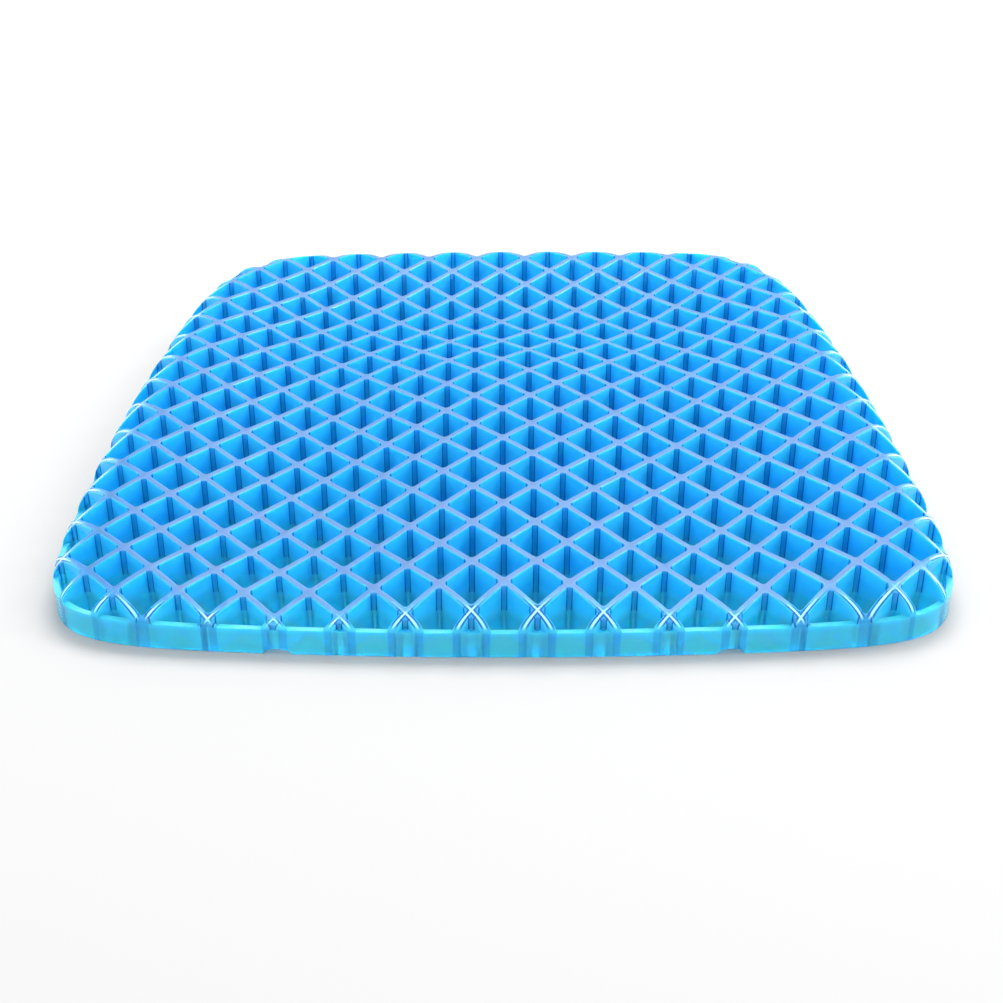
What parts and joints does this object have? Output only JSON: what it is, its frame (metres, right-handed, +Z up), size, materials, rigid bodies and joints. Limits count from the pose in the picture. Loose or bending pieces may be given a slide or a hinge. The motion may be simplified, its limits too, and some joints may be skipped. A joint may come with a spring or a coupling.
{
  "type": "seat cushion",
  "caption": "Gel lattice seat cushion: crossed upright ribs form open square cells inside a low edge band, under a dished seat surface with rounded edges.",
  "frame": {"origin": "centre of the plan outline, on the flat resting face", "axes": "+X to the right seen from the front, -Y towards the front edge, +Z up"},
  "size_m": [0.4064, 0.3748, 0.0391],
  "materials": {
    "gel_rib": "translucent moulded gel, satin",
    "gel_band": "translucent moulded gel, satin"
  },
  "bodies": {
    "root": {"band_front": "gel_band", "band_back": "gel_band", "band_left": "gel_band", "band_right": "gel_band", "rib_right_01": "gel_rib", "rib_right_02": "gel_rib", "rib_right_03": "gel_rib", "rib_right_04": "gel_rib", "rib_right_05": "gel_rib", "rib_right_06": "gel_rib", "rib_right_07": "gel_rib", "rib_right_08": "gel_rib", "rib_right_09": "gel_rib", "rib_right_10": "gel_rib", "rib_right_11": "gel_rib", "rib_right_12": "gel_rib", "rib_right_13": "gel_rib", "rib_right_14": "gel_rib", "rib_right_15": "gel_rib", "rib_right_16": "gel_rib", "rib_right_17": "gel_rib", "rib_right_18": "gel_rib", "rib_right_19": "gel_rib", "rib_right_20": "gel_rib", "rib_right_21": "gel_rib", "rib_right_22": "gel_rib", "rib_right_23": "gel_rib", "rib_right_24": "gel_rib", "rib_left_01": "gel_rib", "rib_left_02": "gel_rib", "rib_left_03": "gel_rib", "rib_left_04": "gel_rib", "rib_left_05": "gel_rib", "rib_left_06": "gel_rib", "rib_left_07": "gel_rib", "rib_left_08": "gel_rib", "rib_left_09": "gel_rib", "rib_left_10": "gel_rib", "rib_left_11": "gel_rib", "rib_left_12": "gel_rib", "rib_left_13": "gel_rib", "rib_left_14": "gel_rib", "rib_left_15": "gel_rib", "rib_left_16": "gel_rib", "rib_left_17": "gel_rib", "rib_left_18": "gel_rib", "rib_left_19": "gel_rib", "rib_left_20": "gel_rib", "rib_left_21": "gel_rib", "rib_left_22": "gel_rib", "rib_left_23": "gel_rib", "rib_left_24": "gel_rib"}
  },
  "joints": []
}
